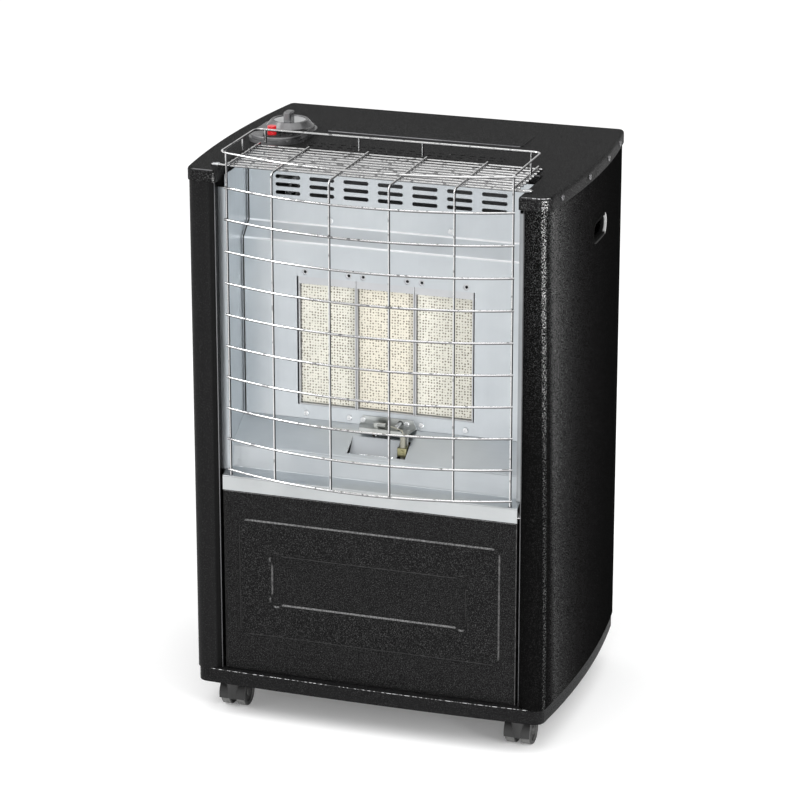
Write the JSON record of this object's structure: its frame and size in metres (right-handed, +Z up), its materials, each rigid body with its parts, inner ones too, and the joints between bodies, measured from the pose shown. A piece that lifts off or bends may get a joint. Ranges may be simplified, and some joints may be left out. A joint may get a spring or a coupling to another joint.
{
  "type": "portable gas cabinet heater",
  "caption": "Wheeled steel cabinet heater with ceramic plaque burners in a bright reflector, a bowed wire guard, a rail shelf on top, a control knob and a tilting rear cover.",
  "frame": {"origin": "centre of the bounding box in plan, on the floor under the wheels", "axes": "+Z up, the burner side faces -Y, +X to the right of someone looking at the front"},
  "size_m": [0.4452, 0.3537, 0.6927],
  "materials": {
    "black_coat": "fine speckled black powder coat, semi-gloss",
    "galvanised": "bright blue-grey galvanised sheet",
    "lip_steel": "light neutral grey sheet",
    "chrome_wire": "bright chrome wire",
    "plaque_ceramic": "cream perforated ceramic, matt",
    "burner_steel": "aluminised steel pressing",
    "brass": "machined brass",
    "pipe_alloy": "drawn tube",
    "knob_plastic": "dark grey moulded plastic",
    "knob_chrome": "chromed ring",
    "red_plastic": "bright red moulded plastic",
    "black_plastic": "black moulded plastic",
    "tread_grey": "grey moulded wheel",
    "steel": "zinc plated steel",
    "white_ceramic": "glazed electrode body",
    "rubber": "black rubber"
  },
  "bodies": {
    "cabinet": {"base_tray": "black_coat", "side_panel_left": "black_coat", "side_panel_right": "black_coat", "top_cover": "black_coat", "front_panel": "black_coat", "reflector_back": "galvanised", "reflector_left": "galvanised", "reflector_right": "galvanised", "reflector_floor": "lip_steel", "burner_left": "burner_steel", "burner_center": "burner_steel", "burner_right": "burner_steel", "plaque_left": "plaque_ceramic", "plaque_center": "plaque_ceramic", "plaque_right": "plaque_ceramic", "gas_manifold": "brass", "injectors": "brass", "heat_shield": "burner_steel", "manifold_brackets": "steel", "gas_valve": "pipe_alloy", "valve_bracket": "steel", "burner_pipes": "pipe_alloy", "supply_pipe": "pipe_alloy", "hose_nozzle": "brass", "pilot_bracket": "steel", "pilot_burner": "brass", "pilot_pipe": "pipe_alloy", "thermocouple": "steel", "spark_electrode": "white_ceramic", "electrode_clamp": "brass", "ignition_lead": "rubber", "control_plinth": "knob_plastic", "piezo_body": "black_plastic", "piezo_nut": "steel", "wire_guard": "chrome_wire", "wire_shelf": "chrome_wire", "shelf_rail": "chrome_wire", "hand_grips": "black_plastic", "guard_clips": "steel", "hinge_brackets": "steel", "rear_top_rail": "black_coat", "stud_grommets": "rubber", "caster_sockets": "steel", "case_screws": "steel", "burner_screws": "steel"},
    "gas_plug": {"valve_plug": "brass"},
    "knob": {"control_knob": "knob_plastic", "knob_insert": "knob_chrome", "valve_spindle": "steel"},
    "ignition_button": {"piezo_button": "red_plastic"},
    "rear_door": {"rear_cover": "black_coat", "cover_studs": "steel"},
    "swivel_front_left": {"caster_hood_front_left": "black_plastic"},
    "wheel_front_left": {"caster_wheels_front_left": "tread_grey"},
    "swivel_front_right": {"caster_hood_front_right": "black_plastic"},
    "wheel_front_right": {"caster_wheels_front_right": "tread_grey"},
    "swivel_rear_left": {"caster_hood_rear_left": "black_plastic"},
    "wheel_rear_left": {"caster_wheels_rear_left": "tread_grey"},
    "swivel_rear_right": {"caster_hood_rear_right": "black_plastic"},
    "wheel_rear_right": {"caster_wheels_rear_right": "tread_grey"}
  },
  "joints": [
    {"name": "valve_turn", "type": "hinge", "parent": "cabinet", "child": "gas_plug", "pos_m": [-0.1515, 0.02055, 0.619], "axis": [0, 0, 1], "range_deg": [0, 225]},
    {"name": "knob_press", "type": "slide", "parent": "gas_plug", "child": "knob", "axis": [0, 0, -1], "range_m": [0, 0.004], "stiffness_N_per_m": 1500, "springref_m": -0.001},
    {"name": "ignition_press", "type": "slide", "parent": "cabinet", "child": "ignition_button", "axis": [0, 0, -1], "range_m": [0, 0.006], "stiffness_N_per_m": 1200, "springref_m": -0.001},
    {"name": "cover_tilt", "type": "hinge", "parent": "cabinet", "child": "rear_door", "pos_m": [0, 0.16355, 0.232], "axis": [-1, 0, 0], "range_deg": [0, 60]},
    {"name": "swivel_front_left", "type": "hinge", "parent": "cabinet", "child": "swivel_front_left", "pos_m": [-0.1755, -0.12445, 0.0409], "axis": [0, 0, 1], "continuous": true},
    {"name": "roll_front_left", "type": "hinge", "parent": "swivel_front_left", "child": "wheel_front_left", "pos_m": [-0.1755, -0.11145, 0.017], "axis": [1, 0, 0], "continuous": true},
    {"name": "swivel_front_right", "type": "hinge", "parent": "cabinet", "child": "swivel_front_right", "pos_m": [0.1755, -0.12445, 0.0409], "axis": [0, 0, 1], "continuous": true},
    {"name": "roll_front_right", "type": "hinge", "parent": "swivel_front_right", "child": "wheel_front_right", "pos_m": [0.1755, -0.11145, 0.017], "axis": [1, 0, 0], "continuous": true},
    {"name": "swivel_rear_left", "type": "hinge", "parent": "cabinet", "child": "swivel_rear_left", "pos_m": [-0.1755, 0.12355, 0.0409], "axis": [0, 0, 1], "continuous": true},
    {"name": "roll_rear_left", "type": "hinge", "parent": "swivel_rear_left", "child": "wheel_rear_left", "pos_m": [-0.1755, 0.13655, 0.017], "axis": [1, 0, 0], "continuous": true},
    {"name": "swivel_rear_right", "type": "hinge", "parent": "cabinet", "child": "swivel_rear_right", "pos_m": [0.1755, 0.12355, 0.0409], "axis": [0, 0, 1], "continuous": true},
    {"name": "roll_rear_right", "type": "hinge", "parent": "swivel_rear_right", "child": "wheel_rear_right", "pos_m": [0.1755, 0.13655, 0.017], "axis": [1, 0, 0], "continuous": true}
  ]
}
